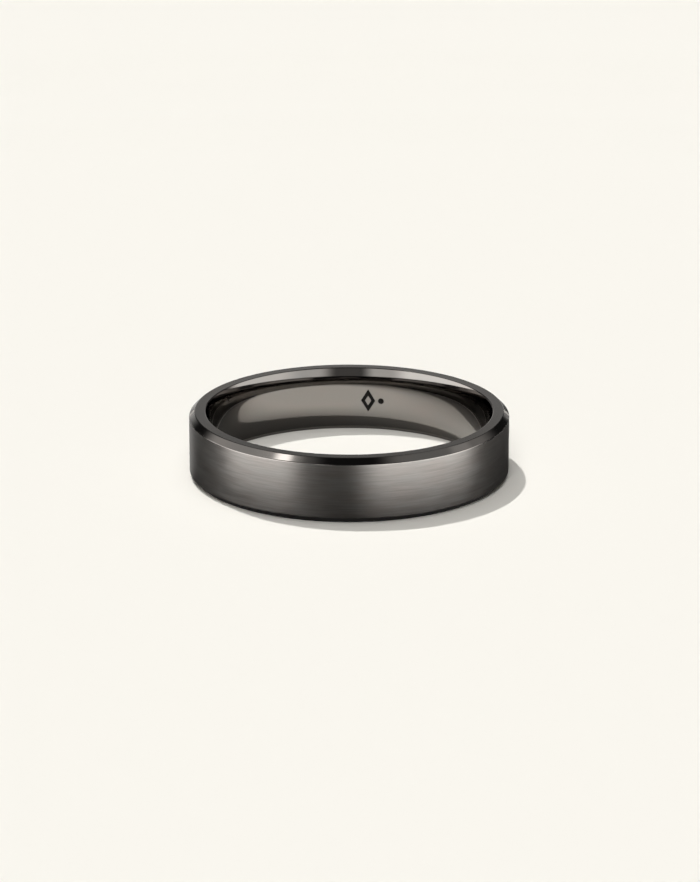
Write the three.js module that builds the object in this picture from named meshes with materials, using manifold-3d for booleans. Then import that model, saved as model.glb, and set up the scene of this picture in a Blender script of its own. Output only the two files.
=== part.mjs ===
// A wedding band with a flat satin outer face, a bevel on each edge, a flat rim on each side and
// a comfort-fit bore. A small mark is cut into the bore and filled with black enamel.
// Millimetres, +Z up. The ring lies flat: its axis is Z and its lower rim is at z = 0.
// +X is to the right and +Y is the side of the bore that carries the mark.

import * as THREE from 'three';
import { mergeVertices } from 'three/addons/utils/BufferGeometryUtils.js';
import Module from 'manifold-3d';

// The band
const BORE_RADIUS = 9.6; // at the middle of the width, where the finger touches it
const WALL = 1.35; // from the bore to the outer face, at the middle of the width
const BAND_WIDTH = 4.5; // from rim to rim, along the finger
const COMFORT_DROP = 0.23; // how far the bore opens out by the time it meets a rim
const COMFORT_POWER = 3; // 2 is a plain arc; more keeps the middle of the bore flatter
const BEVEL_RADIAL = 0.39; // bevel, measured along the rim
const BEVEL_AXIAL = 0.38; // bevel, measured down the outer face
const EDGE_ROUND = 0.05; // how far each polished corner is eased along its two sides

// The mark in the bore: an open lozenge with a dot beside it
const MARK_HEIGHT = 1.66;
const LOZENGE_WIDTH = 1.02;
const LINE_WIDTH = 0.25;
const DOT_DIAMETER = 0.42;
const DOT_SPACING = 0.2; // clear metal between the lozenge and the dot
const MARK_TURN = THREE.MathUtils.degToRad(9.9); // round the ring, from +Y towards +X
const MARK_DROP = 0.1; // below the middle of the width
const RECESS_DEPTH = 0.15;
const ENAMEL_BELOW = 0.03; // enamel stops this far short of the bore's surface
const ENAMEL_GAP = 0.02; // clearance between the enamel and the walls of its recess

// How finely the curves are cut into facets
const RING_STEPS = 96;
const BORE_STEPS = 12;
const ROUND_STEPS = 2;
const DOT_STEPS = 6; // for each quarter turn

const OUTER_RADIUS = BORE_RADIUS + WALL;
const HALF_WIDTH = BAND_WIDTH / 2;
const MARK_REACH = WALL / 2; // the mark's cutters run this far to both sides of the bore

const wasm = await Module();
wasm.setup();

function solidFromGeometry(geometry) {
  geometry.deleteAttribute('normal');
  geometry.deleteAttribute('uv');
  const merged = mergeVertices(geometry);
  return new wasm.Manifold(new wasm.Mesh({
    numProp: 3,
    vertProperties: new Float32Array(merged.attributes.position.array),
    triVerts: new Uint32Array(merged.index.array),
  }));
}

function geometryFromSolid(solid) {
  const mesh = solid.getMesh();
  const geometry = new THREE.BufferGeometry();
  geometry.setAttribute('position', new THREE.BufferAttribute(mesh.vertProperties, 3));
  geometry.setIndex(new THREE.BufferAttribute(mesh.triVerts, 1));
  const flat = geometry.toNonIndexed();
  flat.computeVertexNormals();
  return flat;
}

// A ring solid from a closed outline of (radius, height) points, given anticlockwise.
function turned(outline) {
  const geometry = new THREE.LatheGeometry([...outline, outline[0].clone()], RING_STEPS);
  geometry.rotateX(Math.PI / 2);
  return solidFromGeometry(geometry);
}

// The bore's radius at a height, moved outwards (into the metal) by a depth.
function boreRadius(height, depth = 0) {
  const fromMiddle = Math.abs(height - HALF_WIDTH) / HALF_WIDTH;
  return BORE_RADIUS + COMFORT_DROP * fromMiddle ** COMFORT_POWER + depth;
}

// Points down the bore, from the upper rim to the lower one.
function boreLine(depth = 0) {
  const points = [];
  for (let i = 0; i <= BORE_STEPS; i += 1) {
    const height = BAND_WIDTH * (1 - i / BORE_STEPS);
    points.push(new THREE.Vector2(boreRadius(height, depth), height));
  }
  return points;
}

// Eases every corner of a closed outline whose sides are long enough to take the round.
function easeCorners(corners) {
  const points = [];
  corners.forEach((corner, i) => {
    const before = corners[(i + corners.length - 1) % corners.length];
    const after = corners[(i + 1) % corners.length];
    const turn = after.clone().sub(corner).angle() - corner.clone().sub(before).angle();
    if (Math.abs(Math.sin(turn)) < Math.sin(THREE.MathUtils.degToRad(15))) {
      points.push(corner);
      return;
    }
    const start = corner.clone().add(before.clone().sub(corner).setLength(EDGE_ROUND));
    const end = corner.clone().add(after.clone().sub(corner).setLength(EDGE_ROUND));
    points.push(...new THREE.QuadraticBezierCurve(start, corner, end).getPoints(ROUND_STEPS));
  });
  return points;
}

function bandOutline() {
  const rimOuter = OUTER_RADIUS - BEVEL_RADIAL;
  const bore = boreLine();
  return easeCorners([
    new THREE.Vector2(rimOuter, 0),
    new THREE.Vector2(OUTER_RADIUS, BEVEL_AXIAL),
    new THREE.Vector2(OUTER_RADIUS, BAND_WIDTH - BEVEL_AXIAL),
    new THREE.Vector2(rimOuter, BAND_WIDTH),
    ...bore,
  ]);
}

// The skin of metal between two depths under the bore's surface.
function boreLayer(nearDepth, farDepth) {
  return turned([...boreLine(farDepth).reverse(), ...boreLine(nearDepth)]);
}

// Where the mark's artwork sits: x across it and y up it, with the artwork's middle at 0, 0.
const ARTWORK_WIDTH = LOZENGE_WIDTH + DOT_SPACING + DOT_DIAMETER;
const LOZENGE_X = (LOZENGE_WIDTH - ARTWORK_WIDTH) / 2;
const DOT_X = (ARTWORK_WIDTH - DOT_DIAMETER) / 2;

// A diamond whose four sides are moved inwards by an inset, measured square to the side.
function lozenge(inset) {
  const halfWidth = LOZENGE_WIDTH / 2;
  const halfHeight = MARK_HEIGHT / 2;
  const scale = 1 - inset * Math.hypot(1 / halfWidth, 1 / halfHeight);
  return [
    new THREE.Vector2(LOZENGE_X + halfWidth * scale, 0),
    new THREE.Vector2(LOZENGE_X, halfHeight * scale),
    new THREE.Vector2(LOZENGE_X - halfWidth * scale, 0),
    new THREE.Vector2(LOZENGE_X, -halfHeight * scale),
  ];
}

function lozengeShape(gap) {
  const shape = new THREE.Shape(lozenge(gap));
  shape.holes.push(new THREE.Path(lozenge(LINE_WIDTH - gap).reverse()));
  return shape;
}

function dotShape(gap) {
  return new THREE.Shape().absarc(DOT_X, 0, DOT_DIAMETER / 2 - gap, 0, 2 * Math.PI, false);
}

// A flat shape pushed straight through the bore's wall where the mark is.
function cutter(shape) {
  const geometry = new THREE.ExtrudeGeometry(shape, {
    depth: 2 * MARK_REACH,
    curveSegments: 4 * DOT_STEPS,
    bevelEnabled: false,
  });
  const outwards = new THREE.Vector3(Math.sin(MARK_TURN), Math.cos(MARK_TURN), 0);
  const across = new THREE.Vector3(Math.cos(MARK_TURN), -Math.sin(MARK_TURN), 0);
  const up = new THREE.Vector3(0, 0, 1);
  const place = new THREE.Matrix4().makeBasis(across, up, outwards.clone().negate());
  place.setPosition(outwards.multiplyScalar(BORE_RADIUS + MARK_REACH).setZ(HALF_WIDTH - MARK_DROP));
  geometry.applyMatrix4(place);
  return solidFromGeometry(geometry);
}

const enamelLayer = boreLayer(ENAMEL_BELOW, RECESS_DEPTH - ENAMEL_GAP);
const recessLayer = boreLayer(-RECESS_DEPTH, RECESS_DEPTH);

function recess(shapeOf) {
  return cutter(shapeOf(0)).intersect(recessLayer);
}

function enamel(shapeOf) {
  return cutter(shapeOf(ENAMEL_GAP)).intersect(enamelLayer);
}

function bandSolid() {
  return turned(bandOutline()).subtract(recess(lozengeShape)).subtract(recess(dotShape));
}

const titanium = new THREE.MeshStandardMaterial({ color: 0x8b8781, roughness: 0.32, metalness: 1 });
const blackEnamel = new THREE.MeshStandardMaterial({ color: 0x0d0c0b, roughness: 0.5, metalness: 0 });

function piece(name, solid, material) {
  const mesh = new THREE.Mesh(geometryFromSolid(solid), material.clone());
  mesh.name = name;
  return mesh;
}

const weddingBand = new THREE.Group();
weddingBand.add(piece('band', bandSolid(), titanium));
weddingBand.add(piece('mark_enamel_lozenge', enamel(lozengeShape), blackEnamel));
weddingBand.add(piece('mark_enamel_dot', enamel(dotShape), blackEnamel));

export default weddingBand;
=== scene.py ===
"""Looks for the wedding band: a dark satin ring with polished bevels, rims and bore, on a pale floor."""

import math

import bpy
import numpy as np
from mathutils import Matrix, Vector


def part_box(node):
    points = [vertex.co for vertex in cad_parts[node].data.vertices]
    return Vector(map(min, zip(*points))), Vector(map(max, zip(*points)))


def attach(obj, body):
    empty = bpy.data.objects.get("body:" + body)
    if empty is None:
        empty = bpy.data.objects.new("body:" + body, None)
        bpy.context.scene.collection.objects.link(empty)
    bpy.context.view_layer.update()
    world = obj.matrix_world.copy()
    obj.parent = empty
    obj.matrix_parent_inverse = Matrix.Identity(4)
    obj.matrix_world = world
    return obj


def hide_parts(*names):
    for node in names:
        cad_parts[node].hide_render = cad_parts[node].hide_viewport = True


MM = 0.001

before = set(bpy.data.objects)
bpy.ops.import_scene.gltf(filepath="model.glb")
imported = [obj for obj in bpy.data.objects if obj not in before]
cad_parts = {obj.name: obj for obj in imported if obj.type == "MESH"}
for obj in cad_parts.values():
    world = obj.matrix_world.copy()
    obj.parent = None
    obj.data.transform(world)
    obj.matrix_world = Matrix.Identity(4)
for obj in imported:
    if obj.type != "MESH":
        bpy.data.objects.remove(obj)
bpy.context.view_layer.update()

# The CAD band's box gives the ring's outer radius and its width. The rest repeats the design.
band_low, band_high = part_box("band")
OUTER_RADIUS = (band_high.x - band_low.x) / 2
WIDTH = band_high.z - band_low.z
HALF_WIDTH = WIDTH / 2
WALL = 1.35 * MM
COMFORT_DROP = 0.23 * MM
COMFORT_POWER = 3
BEVEL_RADIAL = 0.39 * MM
BEVEL_AXIAL = 0.38 * MM
EDGE_ROUND = 0.05 * MM
BORE_RADIUS = OUTER_RADIUS - WALL

# The mark in the bore: an open lozenge with a dot beside it
MARK_HEIGHT = 1.66 * MM
LOZENGE_WIDTH = 1.02 * MM
LINE_WIDTH = 0.25 * MM
DOT_DIAMETER = 0.42 * MM
DOT_SPACING = 0.2 * MM
MARK_TURN = math.radians(9.9)
MARK_DROP = 0.1 * MM
RECESS_DEPTH = 0.15 * MM
MARK_WIDTH = LOZENGE_WIDTH + DOT_SPACING + DOT_DIAMETER
LOZENGE_X = (LOZENGE_WIDTH - MARK_WIDTH) / 2
DOT_X = (MARK_WIDTH - DOT_DIAMETER) / 2

RING_STEPS = 512
BORE_STEPS = 40
ROUND_STEPS = 6
SIDE_STEPS = 16  # along each side of the lozenge
DOT_STEPS = 48
ON_OUTLINE = 0.0005 * MM  # a vertex nearer to the outline than this lies on it


def new_object(name, mesh):
    obj = bpy.data.objects.new(name, mesh)
    bpy.context.collection.objects.link(obj)
    return obj


# ---------------------------------------------------------------- the ring's outline


def bore_radius(z):
    """The bore's radius at a height: narrowest in the middle, opening out to each rim."""
    from_middle = abs(z - HALF_WIDTH) / HALF_WIDTH
    return BORE_RADIUS + COMFORT_DROP * from_middle**COMFORT_POWER


def bore_normal(z):
    """The bore's normal at a height, as (radial, axial), pointing out of the metal."""
    offset = (z - HALF_WIDTH) / HALF_WIDTH
    slope = COMFORT_DROP * COMFORT_POWER / HALF_WIDTH * abs(offset) ** (COMFORT_POWER - 1)
    length = math.hypot(1, slope)
    return -1 / length, math.copysign(slope, offset) / length


def corner(before, at, after):
    """A corner eased into a short curve, as (r, z) points with their outward normals."""
    before, at, after = Vector(before), Vector(at), Vector(after)
    start = at + (before - at).normalized() * EDGE_ROUND
    end = at + (after - at).normalized() * EDGE_ROUND
    points = []
    for i in range(ROUND_STEPS + 1):
        t = i / ROUND_STEPS
        point = start * (1 - t) ** 2 + at * 2 * t * (1 - t) + end * t**2
        along = ((at - start) * (1 - t) + (end - at) * t).normalized()
        points.append((point.x, point.y, along.y, -along.x))
    return points


FACE, BEVEL, RIM, BORE, RECESS = range(5)


def outline():
    """The closed outline, anticlockwise: (r, z, normal r, normal z, zone of the next stretch)."""
    rim_inner = bore_radius(0)
    step = WIDTH / BORE_STEPS
    near = bore_radius(step)
    low_rim, low_face = (OUTER_RADIUS - BEVEL_RADIAL, 0), (OUTER_RADIUS, BEVEL_AXIAL)
    top_face, top_rim = (OUTER_RADIUS, WIDTH - BEVEL_AXIAL), (OUTER_RADIUS - BEVEL_RADIAL, WIDTH)
    corners = [
        ((rim_inner, 0), low_rim, low_face, BEVEL),
        (low_rim, low_face, top_face, FACE),
        (low_face, top_face, top_rim, BEVEL),
        (top_face, top_rim, (rim_inner, WIDTH), RIM),
        (top_rim, (rim_inner, WIDTH), (near, WIDTH - step), BORE),
    ]
    points = []
    for before, at, after, zone in corners:
        points += [(*p, zone) for p in corner(before, at, after)]
    for i in range(1, BORE_STEPS):
        z = WIDTH - i * step
        points.append((bore_radius(z), z, *bore_normal(z), BORE))
    points += [(*p, RIM) for p in corner((near, step), (rim_inner, 0), low_rim)]
    return points


def turned_mesh(line):
    """The closed outline turned round the ring's axis, with its zones as material slots."""
    count = len(line)
    verts, faces, zones = [], [], []
    for i in range(RING_STEPS):
        turn = 2 * math.pi * i / RING_STEPS
        verts += [(r * math.cos(turn), r * math.sin(turn), z) for r, z, *_ in line]
        j = (i + 1) % RING_STEPS
        for k in range(count):
            m = (k + 1) % count
            faces.append((i * count + k, j * count + k, j * count + m, i * count + m))
            zones.append(line[k][4])
    mesh = bpy.data.meshes.new("band_metal")
    mesh.from_pydata(verts, [], faces)
    mesh.polygons.foreach_set("material_index", zones)
    return mesh


# ---------------------------------------------------------------- the mark


def on_bore(across, up, depth):
    """A point of the mark's artwork, moved straight out to a depth under the bore's surface."""
    z = HALF_WIDTH - MARK_DROP + up
    outwards = math.sqrt((bore_radius(z) + depth) ** 2 - across**2)
    c, s = math.cos(MARK_TURN), math.sin(MARK_TURN)
    return across * c + outwards * s, -across * s + outwards * c, z


def lozenge_loop(inset):
    """A diamond whose sides are moved inwards, with steps along each side."""
    half_width, half_height = LOZENGE_WIDTH / 2, MARK_HEIGHT / 2
    scale = 1 - inset * math.hypot(1 / half_width, 1 / half_height)
    tips = [(half_width, 0), (0, half_height), (-half_width, 0), (0, -half_height)]
    loop = []
    for (x0, y0), (x1, y1) in zip(tips, tips[1:] + tips[:1]):
        for i in range(SIDE_STEPS):
            t = i / SIDE_STEPS
            loop.append((LOZENGE_X + scale * (x0 + (x1 - x0) * t), scale * (y0 + (y1 - y0) * t)))
    return loop


def dot_loop(inset):
    radius = DOT_DIAMETER / 2 - inset
    turns = [2 * math.pi * i / DOT_STEPS for i in range(DOT_STEPS)]
    return [(DOT_X + radius * math.cos(a), radius * math.sin(a)) for a in turns]


def sleeve(name, loops, closed):
    """Equal loops of points joined in order.

    Closed joins the last loop to the first; otherwise both ends are capped.
    """
    count = len(loops[0])
    verts = [p for loop in loops for p in loop]
    faces = []
    for row in range(len(loops) if closed else len(loops) - 1):
        below, above = row * count, (row + 1) % len(loops) * count
        for i in range(count):
            j = (i + 1) % count
            faces.append((below + i, below + j, above + j, above + i))
    if not closed:
        faces.append(tuple(reversed(range(count))))
        faces.append(tuple(range((len(loops) - 1) * count, len(loops) * count)))
    mesh = bpy.data.meshes.new(name)
    mesh.from_pydata(verts, [], faces)
    return mesh


def sunk(loop, depth):
    return [on_bore(x, y, depth) for x, y in loop]


def lozenge_cutter():
    outer, inner = lozenge_loop(0), lozenge_loop(LINE_WIDTH)
    below, above = RECESS_DEPTH, -RECESS_DEPTH
    rows = [sunk(outer, below), sunk(outer, above), sunk(inner, above), sunk(inner, below)]
    return sleeve("lozenge_cutter", rows, closed=True)


def dot_cutter():
    loop = dot_loop(0)
    return sleeve("dot_cutter", [sunk(loop, RECESS_DEPTH), sunk(loop, -RECESS_DEPTH)], closed=False)


def cut(mesh, cutters, materials):
    """The mesh less the cutters, whose faces leave the RECESS material behind."""
    body = new_object("uncut", mesh)
    for mat in materials:
        mesh.materials.append(mat)
    for cutter in cutters:
        for mat in materials:
            cutter.materials.append(mat)
        cutter.polygons.foreach_set("material_index", [RECESS] * len(cutter.polygons))
        tool = new_object("cutter", cutter)
        step = body.modifiers.new("recess", "BOOLEAN")
        step.solver = "EXACT"
        step.operation = "DIFFERENCE"
        step.object = tool
    evaluated = body.evaluated_get(bpy.context.evaluated_depsgraph_get())
    result = bpy.data.meshes.new_from_object(evaluated)
    for step in list(body.modifiers):
        bpy.data.objects.remove(step.object)
    bpy.data.objects.remove(body)
    return result


def smooth_ring(mesh, line):
    """Gives every corner of every face its exact normal: the outline's, the bore's or a flat wall's."""
    known = np.array([p[:4] for p in line])
    spots = np.array([v.co[:] for v in mesh.vertices])
    radius = np.hypot(spots[:, 0], spots[:, 1])
    gap = np.hypot(radius[:, None] - known[:, 0], spots[:, 2, None] - known[:, 1])
    nearest = gap.argmin(axis=1)
    on_outline = gap[np.arange(len(gap)), nearest] < ON_OUTLINE
    flat = known[nearest, 2:]
    for i in np.flatnonzero(~on_outline):
        flat[i] = bore_normal(spots[i, 2])
    smooth = np.column_stack([flat[:, :1] * spots[:, :2] / radius[:, None], flat[:, 1]])
    normals = []
    for face in mesh.polygons:
        wall = face.material_index == RECESS
        normals += [face.normal[:] if wall else smooth[v] for v in face.vertices]
    mesh.polygons.foreach_set("use_smooth", [True] * len(mesh.polygons))
    mesh.normals_split_custom_set(normals)


# ---------------------------------------------------------------- materials

NOISE_LOW = 0.3  # most of a noise texture's values lie between these two
NOISE_HIGH = 0.7


class Tree:
    """Small helpers for writing node trees as arithmetic."""

    def __init__(self, tree):
        self.tree = tree

    def node(self, kind, **settings):
        made = self.tree.nodes.new(kind)
        for key, value in settings.items():
            setattr(made, key, value)
        return made

    def feed(self, socket, value):
        if isinstance(value, bpy.types.NodeSocket):
            self.tree.links.new(value, socket)
        else:
            socket.default_value = value

    def math(self, operation, *values):
        made = self.node("ShaderNodeMath", operation=operation)
        for socket, value in zip(made.inputs, values):
            self.feed(socket, value)
        return made.outputs[0]

    def sum(self, *values):
        total = values[0]
        for value in values[1:]:
            total = self.math("ADD", total, value)
        return total

    def product(self, *values):
        total = values[0]
        for value in values[1:]:
            total = self.math("MULTIPLY", total, value)
        return total

    def smooth(self, value, low, high, out_low=0.0, out_high=1.0):
        made = self.node("ShaderNodeMapRange", interpolation_type="SMOOTHSTEP")
        for socket, item in zip(made.inputs, (value, low, high, out_low, out_high)):
            self.feed(socket, item)
        return made.outputs[0]

    def spread(self, value, low, high):
        """Moves a noise value to a range."""
        made = self.node("ShaderNodeMapRange", clamp=True)
        for socket, item in zip(made.inputs, (value, NOISE_LOW, NOISE_HIGH, low, high)):
            self.feed(socket, item)
        return made.outputs[0]

    def separate(self, vector):
        made = self.node("ShaderNodeSeparateXYZ")
        self.feed(made.inputs[0], vector)
        return made.outputs

    def place(self):
        """Where a point of the object is, in metres."""
        return self.separate(self.node("ShaderNodeTexCoord").outputs["Object"])

    def noise(self, along, across, detail=2.0, offset=0.0):
        """Noise in streaks that run round the ring, at so many cells for each millimetre.

        Across the streaks it follows height less radius, so it works on the face, the bevels and
        the rims alike.
        """
        x, y, z = self.place()
        radius = self.math("SQRT", self.sum(self.product(x, x), self.product(y, y)))
        level = self.math("SUBTRACT", z, radius)
        joined = self.node("ShaderNodeCombineXYZ")
        self.feed(joined.inputs["X"], self.product(x, along / MM))
        self.feed(joined.inputs["Y"], self.product(y, along / MM))
        self.feed(joined.inputs["Z"], self.sum(self.product(level, across / MM), offset))
        made = self.node("ShaderNodeTexNoise")
        self.feed(made.inputs["Vector"], joined.outputs[0])
        self.feed(made.inputs["Scale"], 1.0)
        self.feed(made.inputs["Detail"], detail)
        return made.outputs["Fac"]

    def mix(self, factor, first, second):
        made = self.node("ShaderNodeMix", data_type="RGBA")
        self.feed(made.inputs["Factor"], factor)
        self.feed(made.inputs["A"], (*first, 1))
        self.feed(made.inputs["B"], (*second, 1))
        return made.outputs["Result"]

    def bump(self, height, depth):
        made = self.node("ShaderNodeBump")
        self.feed(made.inputs["Strength"], 1.0)
        self.feed(made.inputs["Distance"], depth)
        self.feed(made.inputs["Height"], height)
        return made.outputs[0]


def shader_material(name):
    mat = bpy.data.materials.new(name)
    mat.use_nodes = True
    return mat, Tree(mat.node_tree), mat.node_tree.nodes["Principled BSDF"].inputs


# Grey titanium: the same metal in two casts that mottle into each other
METAL_WARM = (0.302, 0.278, 0.262)
METAL_COOL = (0.286, 0.276, 0.264)
ENAMEL_DARK = (0.006, 0.0055, 0.005)
ENAMEL_LIGHT = (0.012, 0.011, 0.009)
ENAMEL_GRAIN = 0.002 * MM

# The satin face's relief: how deep its brushed lines, hair lines and slow swell are
LINE_DEPTH = 0.0006 * MM
HAIR_DEPTH = 0.0003 * MM
SWELL_DEPTH = 0.02 * MM


def satin_face():
    """Brushed round the ring, so highlights spread across the lines, up and down the face."""
    mat, t, shader = shader_material("satin_face")
    shader["Metallic"].default_value = 1
    shader["Anisotropic"].default_value = 0.5
    shader["Anisotropic Rotation"].default_value = 0.25
    tangent = t.node("ShaderNodeTangent", direction_type="RADIAL", axis="Z")
    t.feed(shader["Tangent"], tangent.outputs[0])
    patches = t.noise(0.4, 1.1, detail=4.0)
    swell = t.noise(0.22, 0.7, detail=3.0, offset=80.0)
    lines = t.noise(0.35, 9.0, detail=3.0, offset=20.0)
    hairs = t.noise(0.8, 24.0, detail=2.0, offset=50.0)
    tone = t.mix(t.spread(patches, 0.0, 1.0), METAL_WARM, METAL_COOL)
    shade = t.node("ShaderNodeHueSaturation")
    t.feed(shade.inputs["Color"], tone)
    fine = t.sum(t.spread(hairs, -0.06, 0.06), t.spread(patches, -0.05, 0.05))
    t.feed(shade.inputs["Value"], t.sum(t.spread(lines, 0.89, 1.08), fine))
    t.feed(shader["Base Color"], shade.outputs[0])
    t.feed(shader["Roughness"], t.sum(t.spread(lines, 0.32, 0.4), t.spread(patches, -0.02, 0.02)))
    relief = t.sum(t.product(lines, LINE_DEPTH), t.product(hairs, HAIR_DEPTH), t.product(swell, SWELL_DEPTH))
    t.feed(shader["Normal"], t.bump(relief, 1.0))
    return mat


def polished(name, roughness, scratch, ripple):
    """Polished metal with fine lapping lines round the ring and a slow ripple, both by depth."""
    mat, t, shader = shader_material(name)
    shader["Metallic"].default_value = 1
    patches = t.noise(0.3, 0.5, detail=2.0)
    lines = t.noise(0.1, 16.0, detail=3.0, offset=30.0)
    t.feed(shader["Base Color"], t.mix(t.spread(patches, 0.0, 1.0), METAL_WARM, METAL_COOL))
    t.feed(shader["Roughness"], t.spread(lines, roughness * 0.8, roughness * 1.25))
    slow = t.noise(0.18, 0.4, offset=7.0)
    relief = t.sum(t.product(lines, scratch), t.product(slow, ripple))
    t.feed(shader["Normal"], t.bump(relief, 1.0))
    return mat


def enamel(name):
    """Black enamel with a dull, slightly uneven skin."""
    mat, t, shader = shader_material(name)
    skin = t.noise(3.0, 3.0, detail=3.0)
    t.feed(shader["Base Color"], t.mix(t.spread(skin, 0.0, 1.0), ENAMEL_DARK, ENAMEL_LIGHT))
    t.feed(shader["Roughness"], t.spread(skin, 0.5, 0.62))
    shader["Specular IOR Level"].default_value = 0.15
    t.feed(shader["Normal"], t.bump(skin, ENAMEL_GRAIN))
    return mat


band_materials = (
    satin_face(),
    polished("polished_bevel", roughness=0.09, scratch=0.0002 * MM, ripple=0.0),
    polished("polished_rim", roughness=0.12, scratch=0.0002 * MM, ripple=0.0),
    polished("polished_bore", roughness=0.05, scratch=0.00004 * MM, ripple=0.0012 * MM),
    enamel("recess_wall"),
)
ring_outline = outline()
band_metal = cut(turned_mesh(ring_outline), [lozenge_cutter(), dot_cutter()], band_materials)
smooth_ring(band_metal, ring_outline)
band = new_object("band_metal", band_metal)
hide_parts("band")
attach(band, "root")

mark_enamel = enamel("mark_enamel")
for node in ("mark_enamel_lozenge", "mark_enamel_dot"):
    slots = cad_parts[node].data.materials
    slots.clear()
    slots.append(mark_enamel)

# ---------------------------------------------------------------- studio: floor and lamps

FLOOR_HALF = 3.0
FLOOR_COLOUR = (0.919, 0.894, 0.830)
FLOOR_SHADE = (0.956, 0.930, 0.863)  # how the fully lit floor looks


def plain_floor():
    bpy.ops.mesh.primitive_plane_add(size=2 * FLOOR_HALF, location=(0, 0, 0))
    floor = bpy.context.object
    floor.name = "studio_floor"
    mat, _, shader = shader_material("studio_floor")
    shader["Base Color"].default_value = (*FLOOR_COLOUR, 1)
    shader["Roughness"].default_value = 1
    shader["Specular IOR Level"].default_value = 0
    floor.data.materials.append(mat)


plain_floor()

# Distant lamps light the floor: a small key from the back left casts the shadow, and two broad ones,
# overhead and low in front, fill it. None of them shows in the metal. Where the metal mirrors the
# floor, a key that leans further and a weaker fill take over, so the mirrored shadow is deeper.
# lean to the right and away for each step up, spread in degrees, share in plain view, in reflections
LAMPS = {
    "key": (-0.275, 0.355, 2, 0.51, 0),
    "overhead_fill": (0, 0, 50, 0.23, 0),
    "front_fill": (-0.1, -1.2, 26, 0.26, 0),
    "mirrored_key": (-0.31, 0.43, 2, 0, 0.73),
    "mirrored_fill": (-0.12, -0.12, 48, 0, 0.27),
}
LIT = math.pi * 1.04  # irradiance that gives the floor its full shade
SECOND_MIRROR = 0.58  # how much of the light is left in a reflection of a reflection


def mirrored(t, plain, once):
    """One value in plain view, another in a reflection, and less in a reflection of a reflection."""
    depth = t.node("ShaderNodeLightPath").outputs["Glossy Depth"]
    first = t.math("GREATER_THAN", depth, 0.5)
    second = t.math("GREATER_THAN", depth, 1.5)
    return t.sum(plain, t.product(first, once - plain), t.product(second, (SECOND_MIRROR - 1) * once))


def lamps():
    for name, (right, away, spread_degrees, share, mirrored_share) in LAMPS.items():
        direction = Vector((right, away, 1))
        data = bpy.data.lights.new(name, "SUN")
        data.angle = math.radians(spread_degrees)
        data.energy = LIT / direction.normalized().z
        data.use_nodes = True
        t = Tree(data.node_tree)
        t.feed(data.node_tree.nodes["Emission"].inputs["Strength"], mirrored(t, share, mirrored_share))
        obj = bpy.data.objects.new(name, data)
        bpy.context.collection.objects.link(obj)
        obj.rotation_euler = direction.to_track_quat("Z", "Y").to_euler()
        obj.visible_glossy = False


lamps()

# ---------------------------------------------------------------- studio: what the metal mirrors

# Panels of the light tent. Azimuth 0 is towards the camera and 90 is to its right, in degrees.
# azimuth, elevation, half width, half height, soft edge across, soft edge up, brightness
PANELS = {
    "front_low": (0, 8, 12, 11, 10, 8, 0.13),
    "left_inner": (-67, 9, 52, 12, 13, 8, 1.05),
    "left_outer": (-80, 9, 38, 12, 18, 8, 1.0),
    "right_inner": (62, 9, 45, 12, 17, 8, 1.05),
    "right_outer": (78, 9, 30, 12, 24, 8, 0.5),
    "left_high": (-98, 46.5, 37, 20, 14, 12, 0.58),
    "right_high": (95, 48, 45, 22, 30, 14, 0.29),
    "right_accent": (110, 42, 6, 8, 5, 5, 0.22),
    "highlight": (-77, 59.5, 6, 5, 7, 5, 3.0),
    "highlight_skirt": (-68, 60, 25, 11, 28, 8, 0.17),
    "back_sky": (180, 56, 60, 24, 30, 14, 0.1),
    "back_rim": (180, 10, 14, 8, 10, 5, 0.41),
    "back_left": (-160, 0, 16, 8, 8, 16, 0.55),
    "back_right": (162, 0, 10, 5, 8, 6, 0.32),
}
BASE_LIGHT = 0.014
TENT_COLOUR = (1.0, 0.99, 0.965)


def panel_light(t, direction, panel):
    azimuth, elevation, half_width, half_height, soft_across, soft_up, light = panel
    turned = t.node("ShaderNodeVectorRotate", rotation_type="EULER_XYZ", invert=True)
    t.feed(turned.inputs["Vector"], direction)
    turned.inputs["Rotation"].default_value = (0, 0, math.radians(azimuth))
    x, y, z = t.separate(turned.outputs[0])
    across = t.math("ABSOLUTE", t.math("ARCTAN2", x, t.product(y, -1.0)))
    up = t.math("ABSOLUTE", t.math("SUBTRACT", t.math("ARCSINE", z), math.radians(elevation)))
    wide = t.smooth(
        across, math.radians(half_width + soft_across / 2), math.radians(half_width - soft_across / 2)
    )
    tall = t.smooth(up, math.radians(half_height + soft_up / 2), math.radians(half_height - soft_up / 2))
    return t.product(wide, tall, float(light))


def light_tent():
    world = bpy.data.worlds.new("light_tent")
    bpy.context.scene.world = world
    world.use_nodes = True
    world.node_tree.nodes.clear()
    world.cycles_visibility.diffuse = False
    t = Tree(world.node_tree)
    direction = t.node("ShaderNodeTexCoord").outputs["Generated"]
    tent = t.node("ShaderNodeBackground")
    tent.inputs["Color"].default_value = (*TENT_COLOUR, 1)
    panels = [panel_light(t, direction, panel) for panel in PANELS.values()]
    t.feed(tent.inputs["Strength"], t.product(t.sum(BASE_LIGHT, *panels), mirrored(t, 1.0, 1.0)))
    backdrop = t.node("ShaderNodeBackground")
    backdrop.inputs["Color"].default_value = (*FLOOR_SHADE, 1)
    mix = t.node("ShaderNodeMixShader")
    t.feed(mix.inputs[0], t.node("ShaderNodeLightPath").outputs["Is Camera Ray"])
    t.feed(mix.inputs[1], tent.outputs[0])
    t.feed(mix.inputs[2], backdrop.outputs[0])
    out = t.node("ShaderNodeOutputWorld")
    t.feed(out.inputs["Surface"], mix.outputs[0])


light_tent()



def hide_from_all_but_metal(obj):
    """Leaves an object visible to glossy rays only."""
    for ray in ("camera", "diffuse", "transmission", "volume_scatter", "shadow"):
        setattr(obj, "visible_" + ray, False)


def empty_material(name):
    mat = bpy.data.materials.new(name)
    mat.use_nodes = True
    mat.node_tree.nodes.clear()
    return mat, Tree(mat.node_tree)


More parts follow.
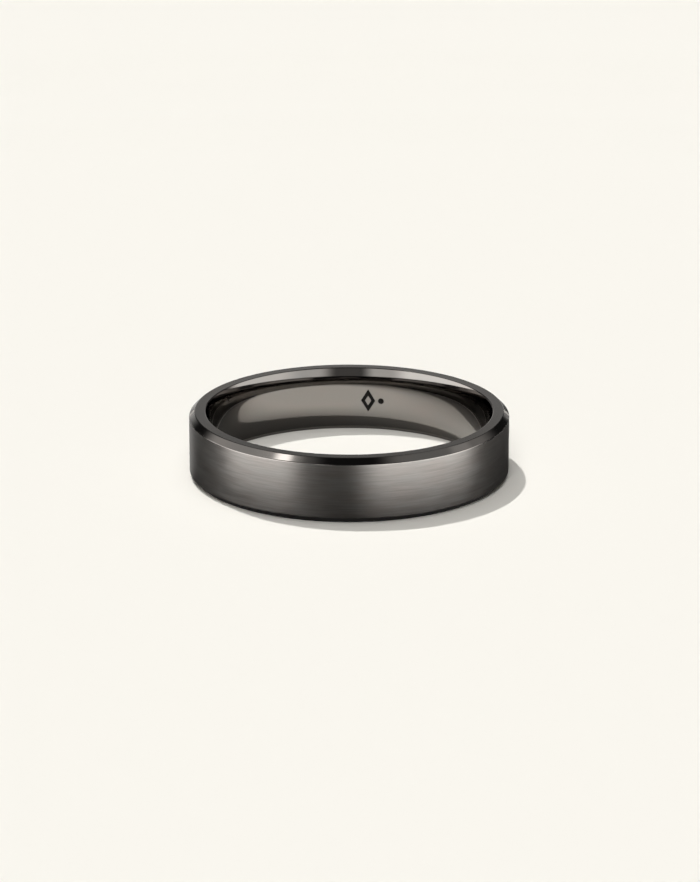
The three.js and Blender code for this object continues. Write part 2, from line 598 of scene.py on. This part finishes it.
# A card lies round the ring, just over the floor, and glows. Only the metal sees it: it is dark
# beside the ring and brighter further out, in one zone to the left and one to the right.
# What the metal mirrors here is painted: the dark band beside the ring is painted shade, standing in
# for the floor's shade near the ring, and it darkens the lower face and the lower bevel. The bright
# zones are painted reflections of a lit floor.
CARD_HEIGHT = 0.01 * MM
CARD_REACH = 12 * OUTER_RADIUS
CARD_STEPS = 96
# Painted shade: the card is kept dim beside the ring, where the metal mirrors the floor's shade.
CARD_NEAR = 0.03  # its brightness beside the ring, which rises to its base brightness
CARD_BASE = 0.085
CARD_BASE_FULL_AT = 0.9  # clear of the ring, in outer radii
# middle of the zone, its half width, its soft edge (degrees) and its brightness
CARD_ZONES = {"left": (-34, 14.6, 9, 3.95), "right": (27.3, 20.8, 12, 4.2)}
CARD_DARK_TO = 0.3  # clear of the ring, in outer radii: the zones begin here
CARD_FULL_AT = 2.0
# behind the ring: where the zone begins, its soft edge and its brightness
CARD_BACK = {"left": (83, 16, 0.45), "right": (96, 14, 0.36)}


def painted_reflection_card():
    inner = OUTER_RADIUS - BEVEL_RADIAL
    verts, faces = [], []
    for i in range(CARD_STEPS):
        turn = 2 * math.pi * i / CARD_STEPS
        for radius in (inner, CARD_REACH):
            verts.append((radius * math.cos(turn), radius * math.sin(turn), CARD_HEIGHT))
        j = (i + 1) % CARD_STEPS
        faces.append((2 * i, 2 * i + 1, 2 * j + 1, 2 * j))
    mesh = bpy.data.meshes.new("painted_reflection_card")
    mesh.from_pydata(verts, [], faces)
    card = new_object("painted_reflection_card", mesh)
    hide_from_all_but_metal(card)
    mat, t = empty_material("painted_reflection_card")
    x, y, _ = t.place()
    reach = t.product(t.math("SQRT", t.sum(t.product(x, x), t.product(y, y))), 1 / OUTER_RADIUS)
    azimuth = t.math("ARCTAN2", x, t.product(y, -1.0))
    # The face turns away as it curves, so a zone keeps its edges upright on the face when its
    # azimuth is narrowed with the distance from the ring.
    facing = t.product(azimuth, t.math("DIVIDE", reach, t.sum(t.product(reach, 2.0), -1.0)))
    clear = t.sum(reach, -1.0)
    # painted shade beside the ring, rising to the card's base brightness further out
    light = t.smooth(clear, 0.0, CARD_BASE_FULL_AT, CARD_NEAR, CARD_BASE)
    # painted reflections of lit floor, in the zones to the left, to the right and behind the ring
    for middle, half_width, soft, brightness in CARD_ZONES.values():
        off = t.math("ABSOLUTE", t.math("SUBTRACT", facing, math.radians(middle)))
        zone = t.smooth(off, math.radians(half_width + soft / 2), math.radians(half_width - soft / 2))
        rise = t.smooth(clear, CARD_DARK_TO, CARD_FULL_AT)
        light = t.sum(light, t.product(zone, rise, brightness))
    for side, (begin, soft, brightness) in zip((-1, 1), CARD_BACK.values()):
        turned = t.product(facing, float(side))
        zone = t.smooth(turned, math.radians(begin - soft / 2), math.radians(begin + soft / 2))
        light = t.sum(light, t.product(zone, brightness))
    emission = t.node("ShaderNodeEmission")
    emission.inputs["Color"].default_value = (*TENT_COLOUR, 1)
    t.feed(emission.inputs["Strength"], t.product(light, mirrored(t, 1.0, 1.0)))
    out = t.node("ShaderNodeOutputMaterial")
    t.feed(out.inputs["Surface"], emission.outputs[0])
    mesh.materials.append(mat)


painted_reflection_card()

# A film lies inside the ring, where only the metal sees it. It dims the mirrored floor towards
# the shadow of the back wall, so that the mirrored shadow has a soft edge.
FILM_CENTRE = (0.3, -0.05)  # in outer radii, towards the camera's right and away from it
FILM_CLEAR_TO = 0.5  # from its centre, in outer radii
FILM_DIM_AT = 1.0
FILM_DIM = 0.36  # how much light the dim edge lets through
FILM_STEPS = 64


def shadow_film():
    turns = [2 * math.pi * i / FILM_STEPS for i in range(FILM_STEPS)]
    verts = [(BORE_RADIUS * math.cos(a), BORE_RADIUS * math.sin(a), CARD_HEIGHT) for a in turns]
    mesh = bpy.data.meshes.new("shadow_film")
    mesh.from_pydata(verts, [], [tuple(range(FILM_STEPS))])
    film = new_object("shadow_film", mesh)
    hide_from_all_but_metal(film)
    mat, t = empty_material("shadow_film")
    x, y, _ = t.place()
    x = t.sum(t.product(x, 1 / OUTER_RADIUS), -FILM_CENTRE[0])
    y = t.sum(t.product(y, 1 / OUTER_RADIUS), -FILM_CENTRE[1])
    out_from_centre = t.math("SQRT", t.sum(t.product(x, x), t.product(y, y)))
    clear = t.smooth(out_from_centre, FILM_CLEAR_TO, FILM_DIM_AT, 1.0, FILM_DIM)
    tint = t.node("ShaderNodeCombineColor")
    for socket in tint.inputs:
        t.feed(socket, clear)
    glass = t.node("ShaderNodeBsdfTransparent")
    t.feed(glass.inputs["Color"], tint.outputs[0])
    out = t.node("ShaderNodeOutputMaterial")
    t.feed(out.inputs["Surface"], glass.outputs[0])
    mesh.materials.append(mat)


shadow_film()

# ---------------------------------------------------------------- camera

CAMERA_ELEVATION = math.radians(18.02)
CAMERA_DISTANCE = 25.85 * OUTER_RADIUS
LENS_MM = 168.5
AIM = Vector((0.058 * MM, 0, HALF_WIDTH - 0.02 * MM))
SENSOR_MM = 36
CLIP = (0.01, 20)


def camera():
    data = bpy.data.cameras.new("camera")
    data.lens = LENS_MM
    data.sensor_width = SENSOR_MM
    data.clip_start, data.clip_end = CLIP
    obj = bpy.data.objects.new("camera", data)
    bpy.context.collection.objects.link(obj)
    back = Vector((0, -math.cos(CAMERA_ELEVATION), math.sin(CAMERA_ELEVATION)))
    obj.location = Vector((0, 0, HALF_WIDTH)) + back * CAMERA_DISTANCE
    obj.rotation_euler = (AIM - obj.location).to_track_quat("-Z", "Y").to_euler()
    bpy.context.scene.camera = obj
    bpy.context.scene.view_settings.view_transform = "Standard"


camera()
